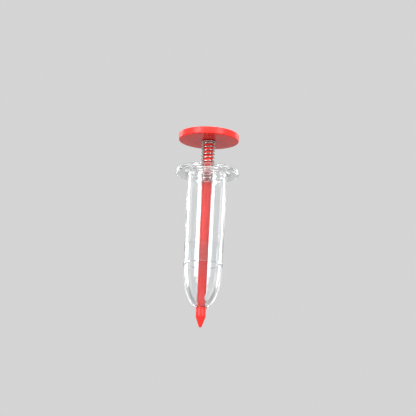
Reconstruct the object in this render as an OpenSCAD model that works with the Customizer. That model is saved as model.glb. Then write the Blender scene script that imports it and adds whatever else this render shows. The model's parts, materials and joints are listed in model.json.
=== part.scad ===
// Push seeder: a hand-held seed sower. Seeds lie in a clear barrel around a sprung plunger, and each
// push of the thumb disc carries one seed out through the nozzle in a pocket in the plunger rod.
// Upright on the Z axis: the tip's point is the origin, and the thumb disc is at the top.

/* [Barrel] */
// Outside diameter of the barrel
barrel_od = 20; // [16:0.5:25]
// Wall of the barrel
barrel_wall = 1.2; // [0.8:0.1:2]
// Length of the barrel from the nose up to the underside of the finger flange
barrel_length = 47.5; // [32:0.5:70]
// Bevel on the barrel's lower outside edge
barrel_bevel = 0.35; // [0.1:0.05:0.6]

/* [Finger flange] */
// Diameter of the finger flange
flange_d = 32.6; // [27:0.2:44]
// Thickness of the finger flange
flange_t = 2.5; // [1.9:0.1:4]
// Rounding of the flange's rim
flange_edge_r = 0.7; // [0.2:0.1:0.9]
// Fillet between the flange's underside and the barrel
flange_fillet_r = 1; // [0.3:0.1:2]

/* [Cap] */
// How far the cap's rim reaches out past the barrel's bore
cap_rim_width = 3.2; // [1.5:0.1:4]
// Depth of the recess in the flange that the cap's rim sits in
cap_recess = 1.2; // [0.6:0.1:1.7]
// How far the rim stands above the flange, so that a nail can lift it
cap_lip = 0.4; // [0.1:0.1:1.5]
// How far the cap's plug reaches down the barrel's bore
cap_plug_depth = 2.2; // [1:0.1:3.5]
// Wall of the cap's plug
cap_plug_wall = 1; // [0.6:0.1:1.4]
// Gap all round between the cap and the barrel
cap_fit = 0.06; // [0.02:0.01:0.1]
// Depth of the spring well below the flange's top face
well_depth = 5.8; // [4.2:0.1:8]
// Thickness of the well's floor, which guides the rod
well_floor = 1.2; // [0.8:0.1:2.5]
// Wall of the spring well
well_wall = 1; // [0.6:0.1:1.4]
// Gap between the spring and the well's wall
well_gap = 0.5; // [0.2:0.1:1]

/* [Nose] */
// Length of the nose from the barrel down to the outlet
nose_length = 22.3; // [16:0.1:30]
// Length of the spigot that plugs into the barrel
spigot_length = 10.4; // [4:0.2:16]
// Wall of the spigot
spigot_wall = 0.8; // [0.6:0.1:1.2]
// Gap all round between the spigot and the barrel
spigot_fit = 0.03; // [0.02:0.01:0.08]
// Wall of the nozzle at the outlet
nozzle_wall = 1.2; // [0.8:0.1:2]
// Length of the nozzle's bore
nozzle_length = 2.4; // [1.6:0.1:4]

/* [Plunger] */
// Diameter of the thumb disc
disc_d = 31; // [24:0.5:40]
// Thickness of the thumb disc
disc_t = 3.7; // [3:0.1:6]
// Rounding of the disc's edges
disc_edge_r = 0.6; // [0.2:0.1:1.4]
// Gap between the flange's top face and the disc at rest
disc_gap = 15.4; // [13:0.2:24]
// Travel of the plunger
stroke = 9; // [6:0.5:10]
// Diameter of the rod in the cap's guide
rod_d = 5.1; // [4.6:0.1:6.2]
// Diameter of the rod in the nozzle
rod_low_d = 4.6; // [3.8:0.1:5.1]
// Gap all round between the rod and its two guides
rod_clearance = 0.08; // [0.03:0.01:0.1]
// Diameter of the stud that the disc is pressed on
disc_stud_d = 3.6; // [2.6:0.1:4.2]
// Length of the stud that the disc is pressed on
disc_stud_length = 2.4; // [1.4:0.1:2.6]
// Gap all round in the two pressed joints
press_gap = 0.02; // [0.01:0.01:0.05]

/* [Seed pocket] */
// Length of the seed pocket along the rod
pocket_length = 4.6; // [2.4:0.1:5.4]
// Depth of the seed pocket
pocket_depth = 1.8; // [0.8:0.1:2]
// Height of the pocket above the nozzle's bore at rest
pocket_rise = 0.5; // [0.2:0.1:1]

/* [Tip] */
// Length of the tip below the outlet
tip_length = 10.2; // [8:0.1:16]
// Length of the tip's tapered end
tip_taper_length = 5.6; // [3:0.1:7]
// Radius of the tip's rounded point
tip_end_r = 0.9; // [0.6:0.1:1.8]
// How far the tip's shoulder stands out past the nozzle's bore, which stops the plunger
tip_shoulder = 0.22; // [0.15:0.01:0.6]
// Gap between the tip's shoulder and the outlet at rest
tip_seat_gap = 0.1; // [0.05:0.05:0.2]
// Diameter of the stud that the tip is pressed on
tip_stud_d = 2.6; // [1.8:0.1:3.2]
// Length of the stud that the tip is pressed on
tip_stud_length = 4; // [2:0.1:5]

/* [Spring] */
// Diameter of the spring's wire
wire_d = 0.7; // [0.4:0.01:0.85]
// Gap between the spring and the rod
spring_rod_gap = 0.35; // [0.2:0.05:0.6]
// Turns between the spring's closed ends
spring_turns = 10; // [6:1:12]

/* [Hidden] */
$fn = 96;

// Small gap that keeps resting faces of separate pieces from sharing a surface
rest_gap = 0.02;
// Points on a quarter round, and on each of the nose's long curves
ARC_STEPS = 6;
NOSE_STEPS = 28;

barrel_r = barrel_od / 2;
bore_r = barrel_r - barrel_wall;
rod_r = rod_d / 2;
rod_low_r = rod_low_d / 2;
guide_r = rod_r + rod_clearance;
nozzle_r = rod_low_r + rod_clearance;
outlet_r = nozzle_r + nozzle_wall;
tip_r = nozzle_r + tip_shoulder;

// Heights, from the tip's point up
outlet_z = tip_length + tip_seat_gap;
nozzle_top_z = outlet_z + nozzle_length;
joint_z = outlet_z + nose_length;
spigot_top_z = joint_z + spigot_length;
flange_bottom_z = joint_z + barrel_length;
flange_top_z = flange_bottom_z + flange_t;
recess_z = flange_top_z - cap_recess;
plug_bottom_z = recess_z - cap_plug_depth;
well_floor_z = flange_top_z - well_depth;
disc_bottom_z = flange_top_z + disc_gap;

recess_r = bore_r + cap_rim_width + cap_fit;
spigot_r = bore_r - spigot_fit;
spigot_bore_r = spigot_r - spigot_wall;
spring_r = rod_r + spring_rod_gap + wire_d / 2;
well_r = spring_r + wire_d / 2 + well_gap;
scoop_r = (pow(pocket_length / 2, 2) + pow(pocket_depth, 2)) / (2 * pocket_depth);
pocket_z = nozzle_top_z + pocket_rise + pocket_length / 2;

// Points along a round of radius r about (cx, cz), from angle a to angle b
function arc(cx, cz, r, a, b) = [
    for (i = [0:ARC_STEPS])
        let (t = a + (b - a) * i / ARC_STEPS) [cx + r * cos(t), cz + r * sin(t)]
];

// Points down a quarter ellipse: radius r at height top, closing to radius end_r at height bottom
function bullet(r, top, end_r, bottom) =
    let (reach = acos(end_r / r), depth = (top - bottom) / sin(reach))
    [for (i = [0:NOSE_STEPS])
        let (t = reach * i / NOSE_STEPS) [r * cos(t), top - depth * sin(t)]];

module thumb_disc() {
    disc_r = disc_d / 2;
    top_z = disc_bottom_z + disc_t;
    socket_r = disc_stud_d / 2 + press_gap;
    socket_z = disc_bottom_z + disc_stud_length + rest_gap;
    inner_r = disc_r - disc_edge_r;
    color("red") rotate_extrude() polygon(concat(
        [[0, top_z], [0, socket_z], [socket_r, socket_z], [socket_r, disc_bottom_z]],
        arc(inner_r, disc_bottom_z + disc_edge_r, disc_edge_r, -90, 0),
        arc(inner_r, top_z - disc_edge_r, disc_edge_r, 0, 90)
    ));
}

module plunger_rod() {
    guide_end_z = well_floor_z - well_floor - 1;
    low_end_z = nozzle_top_z + stroke + 1;
    stud_low_z = tip_length - tip_stud_length;
    stud_top_z = disc_bottom_z + disc_stud_length;
    lead = 0.3;
    color("red") difference() {
        rotate_extrude() polygon([
            [0, stud_low_z],
            [tip_stud_d / 2 - lead, stud_low_z],
            [tip_stud_d / 2, stud_low_z + lead],
            [tip_stud_d / 2, tip_length + rest_gap],
            [rod_low_r, tip_length + rest_gap],
            [rod_low_r, low_end_z],
            [rod_r, guide_end_z],
            [rod_r, disc_bottom_z - rest_gap],
            [disc_stud_d / 2, disc_bottom_z - rest_gap],
            [disc_stud_d / 2, stud_top_z - lead],
            [disc_stud_d / 2 - lead, stud_top_z],
            [0, stud_top_z]
        ]);
        translate([rod_low_r - pocket_depth + scoop_r, 0, pocket_z]) sphere(scoop_r);
    }
}

module planting_tip() {
    socket_r = tip_stud_d / 2 + press_gap;
    socket_z = tip_length - tip_stud_length - rest_gap;
    shoulder_bevel = 0.12;
    // The taper runs from the tip's side to where it meets the rounded point
    slope = atan((tip_r - tip_end_r) / (tip_taper_length - tip_end_r));
    color("red") rotate_extrude() polygon(concat(
        [[0, socket_z]],
        arc(0, tip_end_r, tip_end_r, -90, -slope),
        [
            [tip_r, tip_taper_length],
            [tip_r, tip_length - shoulder_bevel],
            [tip_r - shoulder_bevel, tip_length],
            [socket_r, tip_length],
            [socket_r, socket_z]
        ]
    ));
}

// Height of the wire's middle after t turns: one closed turn at each end, even pitch between
function coil_z(t, low, high, turns, step) =
    t < 1 ? low + step * t
    : t > turns + 1 ? high - step * (turns + 2 - t)
    : low + step + (high - low - 2 * step) * (t - 1) / turns;

module return_spring() {
    sides = 8;
    steps = 24;
    turns = spring_turns;
    low = well_floor_z + wire_d / 2 + rest_gap;
    high = disc_bottom_z - wire_d / 2 - rest_gap;
    // The closed turns lie a hair apart so that the wire never meets itself
    step = wire_d * 1.04;
    rings = (turns + 2) * steps;
    points = [
        for (i = [0:rings], k = [0:sides - 1])
            let (
                t = i / steps,
                r = spring_r + wire_d / 2 * cos(360 * k / sides),
                z = coil_z(t, low, high, turns, step) + wire_d / 2 * sin(360 * k / sides)
            )
            [r * cos(360 * t), r * sin(360 * t), z]
    ];
    walls = [
        for (i = [0:rings - 1], k = [0:sides - 1])
            let (a = i * sides + k, b = i * sides + (k + 1) % sides)
            [a, b, b + sides, a + sides]
    ];
    first = [for (k = [sides - 1:-1:0]) k];
    last = [for (k = [0:sides - 1]) rings * sides + k];
    color("silver") polyhedron(points, concat(walls, [first], [last]), convexity = 10);
}

module filling_cap() {
    rim_r = bore_r + cap_rim_width;
    plug_r = bore_r - cap_fit;
    rim_edge_r = 0.3;
    plate_top_z = flange_top_z + cap_lip;
    plate_low_z = recess_z + rest_gap;
    well_outer_r = well_r + well_wall;
    color("gainsboro", 0.5) rotate_extrude() polygon(concat(
        [
            [guide_r, well_floor_z - well_floor],
            [well_outer_r, well_floor_z - well_floor],
            [well_outer_r, plate_low_z],
            [plug_r - cap_plug_wall, plate_low_z],
            [plug_r - cap_plug_wall, plug_bottom_z],
            [plug_r, plug_bottom_z],
            [plug_r, plate_low_z],
            [rim_r, plate_low_z]
        ],
        arc(rim_r - rim_edge_r, plate_top_z - rim_edge_r, rim_edge_r, 0, 90),
        [
            [well_r, plate_top_z],
            [well_r, well_floor_z],
            [guide_r, well_floor_z]
        ]
    ));
}

module barrel() {
    flange_r = flange_d / 2;
    rim_r = flange_r - flange_edge_r;
    fillet_r = barrel_r + flange_fillet_r;
    color("gainsboro", 0.5) rotate_extrude() polygon(concat(
        [[bore_r, joint_z], [barrel_r - barrel_bevel, joint_z], [barrel_r, joint_z + barrel_bevel]],
        arc(fillet_r, flange_bottom_z - flange_fillet_r, flange_fillet_r, 180, 90),
        arc(rim_r, flange_bottom_z + flange_edge_r, flange_edge_r, -90, 0),
        arc(rim_r, flange_top_z - flange_edge_r, flange_edge_r, 0, 90),
        [[recess_r, flange_top_z], [recess_r, recess_z], [bore_r, recess_z]]
    ));
}

module nose_cone() {
    shoulder_z = joint_z - rest_gap;
    bevel = barrel_bevel;
    spigot_lead = 0.3;
    color("gainsboro", 0.5) rotate_extrude() polygon(concat(
        [
            [spigot_r, shoulder_z],
            [spigot_r, spigot_top_z - spigot_lead],
            [spigot_r - spigot_lead, spigot_top_z],
            [spigot_bore_r, spigot_top_z]
        ],
        bullet(spigot_bore_r, joint_z, nozzle_r, nozzle_top_z),
        [[nozzle_r, outlet_z]],
        [for (p = [NOSE_STEPS:-1:0]) bullet(barrel_r, shoulder_z - bevel, outlet_r, outlet_z)[p]],
        [[barrel_r - bevel, shoulder_z]]
    ));
}

thumb_disc();
plunger_rod();
planting_tip();
return_spring();
filling_cap();
barrel();
nose_cone();
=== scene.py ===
"""Push seeder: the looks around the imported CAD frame. All lengths are metres in the row frame."""

import json
import math

import bpy
from mathutils import Matrix, Vector


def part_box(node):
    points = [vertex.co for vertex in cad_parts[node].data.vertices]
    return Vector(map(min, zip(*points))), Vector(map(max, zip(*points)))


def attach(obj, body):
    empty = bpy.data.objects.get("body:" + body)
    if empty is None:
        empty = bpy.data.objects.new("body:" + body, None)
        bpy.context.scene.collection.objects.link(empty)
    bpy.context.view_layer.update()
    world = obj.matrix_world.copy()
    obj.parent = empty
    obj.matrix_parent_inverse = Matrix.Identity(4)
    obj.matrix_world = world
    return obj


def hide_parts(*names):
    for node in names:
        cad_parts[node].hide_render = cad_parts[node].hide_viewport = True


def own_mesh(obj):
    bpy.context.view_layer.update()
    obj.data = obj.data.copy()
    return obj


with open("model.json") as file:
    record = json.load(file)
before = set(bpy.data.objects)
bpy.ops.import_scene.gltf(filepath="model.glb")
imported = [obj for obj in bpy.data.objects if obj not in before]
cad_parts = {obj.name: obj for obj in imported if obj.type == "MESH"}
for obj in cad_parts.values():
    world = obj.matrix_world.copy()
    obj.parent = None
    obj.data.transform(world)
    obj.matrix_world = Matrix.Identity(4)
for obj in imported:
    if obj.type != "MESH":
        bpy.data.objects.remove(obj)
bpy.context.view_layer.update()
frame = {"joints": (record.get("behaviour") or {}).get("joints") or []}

MM = 0.001

# Sizes that the CAD boxes don't give, as in the part's own source.
BARREL_WALL = 1.2 * MM
CAP_RECESS = 1.2 * MM
CAP_LIP = 0.4 * MM
CAP_GAP = 0.06 * MM
CAP_PLUG_DEPTH = 2.2 * MM
CAP_PLUG_WALL = 1.0 * MM
WELL_FLOOR = 1.2 * MM
WELL_OUTER_R = 5.1 * MM
WELL_R = 4.1 * MM
GUIDE_R = 2.63 * MM
SPIGOT_GAP = 0.03 * MM
SPIGOT_WALL = 0.8 * MM
NOZZLE_R = 2.38 * MM
NOZZLE_WALL = 1.2 * MM
NOZZLE_LENGTH = 2.4 * MM
FLANGE_T = 2.5 * MM
STUD_SOCKET_R = 1.82 * MM
STUD_SOCKET_DEPTH = 2.42 * MM
TIP_SOCKET_R = 1.32 * MM
TIP_SOCKET_DEPTH = 4.02 * MM
TIP_TAPER = 5.6 * MM
TIP_END_R = 0.9 * MM
ROD_LOW_R = 2.3 * MM
DISC_STUD_R = 1.8 * MM
TIP_STUD_R = 1.3 * MM
REST_GAP = 0.02 * MM
ROD_STEP = 1 * MM
POCKET_LENGTH = 4.6 * MM
POCKET_DEPTH = 1.8 * MM
POCKET_RISE = 0.5 * MM
WIRE_R = 0.35 * MM
SPRING_TURNS = 10
STROKE = frame["joints"][0]["range_m"][1]

# Heights and radii from the frame.
DISC_LOW, DISC_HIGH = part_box("thumb_disc")
ROD_LOW, ROD_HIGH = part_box("plunger_rod")
TIP_LOW, TIP_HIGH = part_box("planting_tip")
SPRING_LOW, SPRING_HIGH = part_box("return_spring")
CAP_LOW, CAP_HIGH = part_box("filling_cap")
BARREL_LOW, BARREL_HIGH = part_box("barrel")
NOSE_LOW, NOSE_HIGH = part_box("nose_cone")

ROD_R = ROD_HIGH.x
BARREL_R = NOSE_HIGH.x
BORE_R = BARREL_R - BARREL_WALL
NOZZLE_TOP = NOSE_LOW.z + NOZZLE_LENGTH

# Fineness of the round pieces, and the angle over which an edge stays sharp.
SEGMENTS = 192
WIDE_SEGMENTS = 256
ON_AXIS = 1e-7
SHARP_ANGLE = math.radians(32)


# ---------------------------------------------------------------- mesh helpers

def filleted(corners, steps=8):
    """A closed outline from corners (r, z, fillet radius), with each corner rounded by an arc."""
    outline = []
    count = len(corners)
    for i, (r, z, fillet) in enumerate(corners):
        here = Vector((r, z))
        if fillet <= 0:
            outline.append((r, z))
            continue
        before = (Vector(corners[i - 1][:2]) - here).normalized()
        after = (Vector(corners[(i + 1) % count][:2]) - here).normalized()
        half = before.angle(after) / 2
        centre = here + (before + after).normalized() * fillet / math.sin(half)
        start = here + before * fillet / math.tan(half) - centre
        end = here + after * fillet / math.tan(half) - centre
        turn = start.angle_signed(end)
        for k in range(steps + 1):
            arm = Matrix.Rotation(-turn * k / steps, 2) @ start
            outline.append((centre.x + arm.x, centre.y + arm.y))
    return outline


def lathe(name, outline, segments=SEGMENTS):
    """A solid of revolution about Z from a closed outline of (r, z). Axis points are shared."""
    verts, rings = [], []
    for r, z in outline:
        if r < ON_AXIS:
            rings.append([len(verts)])
            verts.append((0.0, 0.0, z))
            continue
        rings.append(range(len(verts), len(verts) + segments))
        for k in range(segments):
            a = 2 * math.pi * k / segments
            verts.append((r * math.cos(a), r * math.sin(a), z))
    faces = []
    for low, high in zip(rings, rings[1:] + rings[:1]):
        if len(low) == 1 and len(high) == 1:
            continue
        for k in range(segments):
            n = (k + 1) % segments
            if len(low) == 1:
                faces.append((low[0], high[n], high[k]))
            elif len(high) == 1:
                faces.append((low[k], low[n], high[0]))
            else:
                faces.append((low[k], low[n], high[n], high[k]))
    return solid(name, verts, faces)


def solid(name, verts, faces):
    """A mesh object from a closed shell, with its faces turned outwards."""
    mesh = bpy.data.meshes.new(name)
    mesh.from_pydata(verts, [], faces)
    mesh.validate()
    obj = bpy.data.objects.new(name, mesh)
    bpy.context.scene.collection.objects.link(obj)
    edit(obj)
    bpy.ops.mesh.normals_make_consistent(inside=False)
    smooth(obj)
    return obj


def edit(obj):
    bpy.context.view_layer.objects.active = obj
    bpy.ops.object.mode_set(mode="EDIT")
    bpy.ops.mesh.select_all(action="SELECT")


def smooth(obj):
    """Ends editing and shades smooth up to the sharp angle."""
    bpy.ops.object.mode_set(mode="OBJECT")
    obj.select_set(True)
    bpy.ops.object.shade_smooth_by_angle(angle=SHARP_ANGLE)
    obj.select_set(False)


def quarter_ellipse(r, top, end_r, bottom, steps=48):
    """Points down the nose's curve: radius r at height top, closing to end_r at height bottom."""
    reach = math.acos(end_r / r)
    depth = (top - bottom) / math.sin(reach)
    angles = [reach * i / steps for i in range(steps + 1)]
    return [(r * math.cos(t), top - depth * math.sin(t)) for t in angles]


# ------------------------------------------------------------------- materials

def material(name):
    made = bpy.data.materials.new(name)
    made.use_nodes = True
    tree = made.node_tree
    return made, tree, tree.nodes["Principled BSDF"]


def noise(tree, scale, detail=4.0, stretch=(1, 1, 1)):
    """Noise of about 0 to 1 in the piece's own coordinates. scale is in cells per metre."""
    coords = tree.nodes.new("ShaderNodeTexCoord")
    mapping = tree.nodes.new("ShaderNodeMapping")
    mapping.inputs["Scale"].default_value = stretch
    texture = tree.nodes.new("ShaderNodeTexNoise")
    texture.inputs["Scale"].default_value = scale
    texture.inputs["Detail"].default_value = detail
    tree.links.new(coords.outputs["Object"], mapping.inputs["Vector"])
    tree.links.new(mapping.outputs["Vector"], texture.inputs["Vector"])
    return texture.outputs["Fac"]


def spread(tree, value, low, high):
    """Maps the middle of a noise, where most of it lies, to low and high."""
    ramp = tree.nodes.new("ShaderNodeMapRange")
    ramp.inputs["From Min"].default_value = 0.3
    ramp.inputs["From Max"].default_value = 0.7
    ramp.inputs["To Min"].default_value = low
    ramp.inputs["To Max"].default_value = high
    tree.links.new(value, ramp.inputs["Value"])
    return ramp.outputs["Result"]


def blend(tree, share, one, other):
    """A colour between one and the other."""
    mix = tree.nodes.new("ShaderNodeMix")
    mix.data_type = "RGBA"
    mix.inputs[6].default_value = one
    mix.inputs[7].default_value = other
    tree.links.new(share, mix.inputs[0])
    return mix.outputs[2]


def product(tree, a, b):
    node = tree.nodes.new("ShaderNodeMath")
    node.operation = "MULTIPLY"
    for value, socket in zip((a, b), node.inputs):
        if isinstance(value, float):
            socket.default_value = value
        else:
            tree.links.new(value, socket)
    return node.outputs["Value"]


def height_ramp(tree, vector, shades):
    """Shades by a direction's Z. Their places run from 0, straight down, to 1, straight up."""
    split = tree.nodes.new("ShaderNodeSeparateXYZ")
    half = tree.nodes.new("ShaderNodeMapRange")
    half.inputs["From Min"].default_value = -1
    ramp = tree.nodes.new("ShaderNodeValToRGB")
    stops = ramp.color_ramp.elements
    for stop, (place, colour) in zip(stops, (shades[0], shades[-1])):
        stop.position, stop.color = place, colour
    for place, colour in shades[1:-1]:
        stops.new(place).color = colour
    tree.links.new(vector, split.inputs["Vector"])
    tree.links.new(split.outputs["Z"], half.inputs["Value"])
    tree.links.new(half.outputs["Result"], ramp.inputs["Fac"])
    return ramp.outputs["Color"]


def grey(shade):
    return shade, shade, shade, 1


def bump(tree, shader, height, distance):
    node = tree.nodes.new("ShaderNodeBump")
    node.inputs["Strength"].default_value = 1.0
    node.inputs["Distance"].default_value = distance
    tree.links.new(height, node.inputs["Height"])
    tree.links.new(node.outputs["Normal"], shader.inputs["Normal"])


def red_plastic(name, disc=False):
    """Satin moulded plastic. The thumb disc is polished below and textured on its thumb face."""
    made, tree, shader = material(name)
    clouds = spread(tree, noise(tree, 90), 0, 1)
    colour = blend(tree, clouds, (0.92, 0.034, 0.026, 1), (0.84, 0.025, 0.019, 1))
    tree.links.new(colour, shader.inputs["Base Color"])
    rough = spread(tree, noise(tree, 420), 0.26, 0.38)
    if disc:
        coords = tree.nodes.new("ShaderNodeTexCoord")
        # Half of what the roughness is multiplied by: underside, rim, rim, thumb face.
        halves = ((0.01, grey(0.14)), (0.10, grey(0.5)), (0.92, grey(0.5)), (0.99, grey(0.85)))
        facing = height_ramp(tree, coords.outputs["Normal"], halves)
        rough = product(tree, rough, product(tree, facing, 2.0))
    tree.links.new(rough, shader.inputs["Roughness"])
    shader.inputs["IOR"].default_value = 1.4
    bump(tree, shader, noise(tree, 1400, 1), 0.000006)
    return made


def clear_plastic():
    """Clear moulded plastic, with slight flow waves along the moulding."""
    made, tree, shader = material("clear_moulded_plastic")
    shader.inputs["Base Color"].default_value = (0.975, 0.985, 0.99, 1)
    shader.inputs["Transmission Weight"].default_value = 1.0
    shader.inputs["IOR"].default_value = 1.5
    tree.links.new(spread(tree, noise(tree, 260), 0.01, 0.035), shader.inputs["Roughness"])
    bump(tree, shader, noise(tree, 110, 2, (1, 1, 0.45)), 0.00003)
    return made


def spring_steel():
    """Bright drawn wire with faint streaks."""
    made, tree, shader = material("drawn_spring_steel")
    shader.inputs["Metallic"].default_value = 1.0
    streaks = spread(tree, noise(tree, 1500, 3, (1, 1, 4)), 0, 1)
    colour = blend(tree, streaks, (0.66, 0.63, 0.59, 1), (0.36, 0.34, 0.32, 1))
    tree.links.new(colour, shader.inputs["Base Color"])
    rough = spread(tree, noise(tree, 3000, 2, (1, 1, 4)), 0.08, 0.16)
    tree.links.new(rough, shader.inputs["Roughness"])
    return made


RED = red_plastic("red_moulded_plastic")
DISC_RED = red_plastic("red_disc_plastic", disc=True)
CLEAR = clear_plastic()
STEEL = spring_steel()


def fit_out(obj, finish, body, slot, *nodes):
    """Gives a piece its material and its body, and hides the CAD nodes that it stands for."""
    obj.data.materials.append(finish)
    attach(obj, body)
    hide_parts(*nodes)
    return obj


# ---------------------------------------------------------------------- pieces

def thumb_disc():
    r, low, high = DISC_HIGH.x, DISC_LOW.z, DISC_HIGH.z
    edge = 0.6 * MM
    socket = low + STUD_SOCKET_DEPTH
    outline = filleted([
        (0, high, 0), (0, socket, 0), (STUD_SOCKET_R, socket, 0), (STUD_SOCKET_R, low, 0.05 * MM),
        (r, low, edge), (r, high, edge),
    ])
    disc = lathe("thumb_disc_moulding", outline)
    return fit_out(disc, DISC_RED, "plunger", "red_plastic", "thumb_disc")


def plunger_rod():
    """The rod with a stud at each end, and the seed pocket scooped out of its side."""
    low, high = ROD_LOW.z, ROD_HIGH.z
    tip_top, disc_low = TIP_HIGH.z + REST_GAP, DISC_LOW.z - REST_GAP
    pocket_z = NOZZLE_TOP + POCKET_RISE + POCKET_LENGTH / 2
    scoop_r = (POCKET_LENGTH ** 2 / 4 + POCKET_DEPTH ** 2) / (2 * POCKET_DEPTH)
    reach = POCKET_LENGTH / 2 + 0.1 * MM
    lead, edge = 0.3 * MM, 0.08 * MM
    outline = filleted([
        (0, low, 0), (TIP_STUD_R, low, lead), (TIP_STUD_R, tip_top, 0), (ROD_LOW_R, tip_top, edge),
        (ROD_LOW_R, pocket_z - reach, 0), (ROD_LOW_R, pocket_z + reach, 0),
        (ROD_LOW_R, NOZZLE_TOP + STROKE + ROD_STEP, 0), (ROD_R, CAP_LOW.z - ROD_STEP, 0),
        (ROD_R, disc_low, edge), (DISC_STUD_R, disc_low, 0), (DISC_STUD_R, high, lead),
        (0, high, 0),
    ])
    rod = lathe("plunger_rod_moulding", outline)
    scoop_x = ROD_LOW_R - POCKET_DEPTH + scoop_r
    bpy.ops.mesh.primitive_uv_sphere_add(
        segments=96, ring_count=48, radius=scoop_r, location=(scoop_x, 0, pocket_z)
    )
    scoop = bpy.context.object
    cut = rod.modifiers.new("seed_pocket", "BOOLEAN")
    cut.operation = "DIFFERENCE"
    cut.solver = "EXACT"
    cut.object = scoop
    bpy.context.view_layer.objects.active = rod
    bpy.ops.object.modifier_apply(modifier=cut.name)
    bpy.data.objects.remove(scoop)
    # The cut leaves points that nearly coincide, which would leave the mesh open.
    edit(rod)
    bpy.ops.mesh.remove_doubles(threshold=0.004 * MM)
    bpy.ops.mesh.dissolve_degenerate(threshold=0.001 * MM)
    smooth(rod)
    return fit_out(rod, RED, "plunger", "red_plastic", "plunger_rod")


def planting_tip():
    r, low, high = TIP_HIGH.x, TIP_LOW.z, TIP_HIGH.z
    socket = high - TIP_SOCKET_DEPTH
    slope = math.atan((r - TIP_END_R) / (TIP_TAPER - TIP_END_R))
    point = [
        (TIP_END_R * math.cos(t), low + TIP_END_R + TIP_END_R * math.sin(t))
        for t in (-math.pi / 2 + (math.pi / 2 - slope) * k / 16 for k in range(17))
    ]
    point[0] = (0, low)
    side = filleted([
        (r, low + TIP_TAPER, 1.2 * MM), (r, high, 0.12 * MM),
        (TIP_SOCKET_R, high, 0.03 * MM), (TIP_SOCKET_R, socket, 0), (0, socket, 0),
        point[-1] + (0,),
    ])[:-1]
    tip = lathe("planting_tip_moulding", point + side)
    return fit_out(tip, RED, "plunger", "red_plastic", "planting_tip")


def return_spring():
    sides, steps = 16, 48
    mean_r = SPRING_HIGH.x - WIRE_R
    low, high = SPRING_LOW.z + WIRE_R, SPRING_HIGH.z - WIRE_R
    closed = WIRE_R * 2 * 1.04
    all_turns = SPRING_TURNS + 2

    def height(t):
        """Height of the wire's middle after t turns. The first and last turns are closed."""
        if t < 1:
            return low + closed * t
        if t > SPRING_TURNS + 1:
            return high - closed * (all_turns - t)
        return low + closed + (high - low - 2 * closed) * (t - 1) / SPRING_TURNS

    rings = all_turns * steps
    verts, faces = [], []
    for i in range(rings + 1):
        t = i / steps
        a = 2 * math.pi * t
        for k in range(sides):
            b = 2 * math.pi * k / sides
            r = mean_r + WIRE_R * math.cos(b)
            verts.append((r * math.cos(a), r * math.sin(a), height(t) + WIRE_R * math.sin(b)))
    for i in range(rings):
        for k in range(sides):
            n = (k + 1) % sides
            faces.append((i * sides + k, (i + 1) * sides + k, (i + 1) * sides + n, i * sides + n))
    faces.append(tuple(range(sides)))
    faces.append(tuple(range(rings * sides, (rings + 1) * sides)))
    wire = solid("return_spring_wire", verts, faces)
    spring = fit_out(wire, STEEL, "cap", "spring_steel", "return_spring")
    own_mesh(spring)
    return spring


def filling_cap():
    top = CAP_HIGH.z
    well_bottom = CAP_LOW.z
    plate_low = top - CAP_LIP - CAP_RECESS + REST_GAP
    plug_r = BORE_R - CAP_GAP
    plug_low = plate_low - CAP_PLUG_DEPTH
    soft, sharp = 0.25 * MM, 0.08 * MM
    outline = filleted([
        (GUIDE_R, well_bottom, sharp), (WELL_OUTER_R, well_bottom, 0.4 * MM),
        (WELL_OUTER_R, plate_low, soft),
        (plug_r - CAP_PLUG_WALL, plate_low, soft), (plug_r - CAP_PLUG_WALL, plug_low, soft),
        (plug_r, plug_low, soft), (plug_r, plate_low, sharp), (CAP_HIGH.x, plate_low, sharp),
        (CAP_HIGH.x, top, 0.3 * MM), (WELL_R, top, soft), (WELL_R, well_bottom + WELL_FLOOR, soft),
        (GUIDE_R, well_bottom + WELL_FLOOR, sharp),
    ])
    cap = lathe("filling_cap_moulding", outline)
    return fit_out(cap, CLEAR, "cap", "clear_plastic", "filling_cap")


def barrel():
    low, top = BARREL_LOW.z, BARREL_HIGH.z
    recess_r = CAP_HIGH.x + CAP_GAP
    recess_z = top - CAP_RECESS
    flange_low = top - FLANGE_T
    sharp = 0.12 * MM
    outline = filleted([
        (BORE_R, low, sharp), (BARREL_R, low, 0.35 * MM), (BARREL_R, flange_low, 1.0 * MM),
        (BARREL_HIGH.x, flange_low, 0.7 * MM), (BARREL_HIGH.x, top, 0.7 * MM),
        (recess_r, top, sharp), (recess_r, recess_z, sharp), (BORE_R, recess_z, sharp),
    ], steps=12)
    tube = lathe("barrel_moulding", outline, WIDE_SEGMENTS)
    return fit_out(tube, CLEAR, "root", "clear_plastic", "barrel")


def nose_cone():
    joint = BARREL_LOW.z
    spigot_r = BORE_R - SPIGOT_GAP
    bore = spigot_r - SPIGOT_WALL
    top = NOSE_HIGH.z
    low = NOSE_LOW.z
    bevel = 0.35 * MM
    shoulder = joint - REST_GAP
    inner = quarter_ellipse(bore, joint, NOZZLE_R, NOZZLE_TOP)
    outer = quarter_ellipse(BARREL_R, shoulder - bevel, NOZZLE_R + NOZZLE_WALL, low)[::-1]
    steps = 8
    rim = filleted([
        (bore, top, 0.25 * MM), inner[0] + (0,), outer[-1] + (0,), (BARREL_R, shoulder, bevel),
        (spigot_r, shoulder, 0.1 * MM), (spigot_r, top, 0.25 * MM),
    ], steps)
    top_round, shoulder_rounds = rim[:steps + 1], rim[steps + 3:]
    mouth = [(NOZZLE_R, low + 0.1 * MM), (NOZZLE_R + 0.1 * MM, low)]
    # The bevel's arc starts where the outer curve ends, so that point is kept once.
    outline = top_round + inner + mouth + outer[:-1] + shoulder_rounds
    nose = lathe("nose_cone_moulding", outline, WIDE_SEGMENTS)
    return fit_out(nose, CLEAR, "root", "clear_plastic", "nose_cone")


thumb_disc()
plunger_rod()
planting_tip()
return_spring()
filling_cap()
barrel()
nose_cone()


# ------------------------------------------------------- camera, stage, lights

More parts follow.
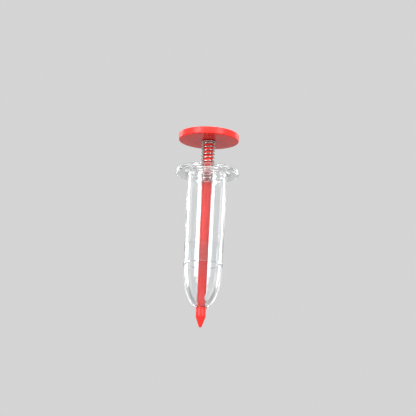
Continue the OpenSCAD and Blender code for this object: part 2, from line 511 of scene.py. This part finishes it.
def camera():
    """Far off, 14.2 degrees below level and looking up, and rolled as in the photograph."""
    aim = Vector((1.2 * MM, 0, 62.5 * MM))
    distance, below, roll = 1.2, math.radians(14.2), math.radians(2.65)
    data = bpy.data.cameras.new("camera")
    data.lens = 202.5
    data.clip_start, data.clip_end = 0.01, 100
    cam = bpy.data.objects.new("camera", data)
    bpy.context.scene.collection.objects.link(cam)
    back = Vector((0, -math.cos(below), -math.sin(below)))
    cam.location = aim + back * distance
    look = (-back).to_track_quat("-Z", "Y").to_matrix().to_4x4()
    cam.matrix_world = Matrix.Translation(cam.location) @ look @ Matrix.Rotation(roll, 4, "Z")
    bpy.context.scene.camera = cam


def softbox(name, azimuth, elevation, distance, width, height, watts):
    """A rectangular light aimed at the seeder's middle. Azimuth 0 is the photograph's side."""
    data = bpy.data.lights.new(name, "AREA")
    data.shape = "RECTANGLE"
    data.size, data.size_y = width, height
    data.energy = watts
    light = bpy.data.objects.new(name, data)
    bpy.context.scene.collection.objects.link(light)
    a, e = math.radians(azimuth), math.radians(elevation)
    out = Vector((math.sin(a) * math.cos(e), -math.cos(a) * math.cos(e), math.sin(e)))
    light.visible_camera = False
    light.location = Vector((0, 0, 55 * MM)) + out * distance
    light.rotation_mode = "QUATERNION"
    light.rotation_quaternion = (-out).to_track_quat("-Z", "Y")


def stage():
    """A pale floor well below the seeder, and a plain studio that is palest at the horizon."""
    bpy.ops.mesh.primitive_plane_add(size=30, location=(0, 0, -0.75))
    floor = bpy.context.object
    floor.name = "floor"
    made, tree, shader = material("pale_floor")
    shader.inputs["Base Color"].default_value = (0.64, 0.64, 0.63, 1)
    shader.inputs["Roughness"].default_value = 0.9
    floor.data.materials.append(made)

    world = bpy.data.worlds.new("studio")
    bpy.context.scene.world = world
    world.use_nodes = True
    tree = world.node_tree
    coords = tree.nodes.new("ShaderNodeTexCoord")
    shades = (
        (0.0, grey(0.38)), (0.42, grey(0.40)), (0.50, grey(0.66)),
        (0.68, grey(0.66)), (0.82, grey(0.58)), (1.0, (0.58, 0.58, 0.59, 1)),
    )
    sky = height_ramp(tree, coords.outputs["Generated"], shades)
    tree.links.new(sky, tree.nodes["Background"].inputs["Color"])


camera()
stage()
softbox("left_softbox", -43, 19, 0.9, 0.32, 0.8, 6.8)
softbox("right_softbox", 42, 19, 0.9, 0.26, 0.8, 4.0)
softbox("left_rim_softbox", -132, 20, 0.9, 0.30, 0.7, 1.8)
softbox("right_rim_softbox", 134, 20, 0.9, 0.26, 0.7, 1.0)
softbox("front_softbox", 4, 46, 1.3, 1.6, 0.8, 12.0)
bpy.context.scene.view_settings.view_transform = "Standard"
# The clear walls need deep paths, or their inner reflections turn black.
bpy.context.scene.cycles.max_bounces = 32
bpy.context.scene.cycles.transmission_bounces = 32
bpy.context.scene.cycles.glossy_bounces = 32
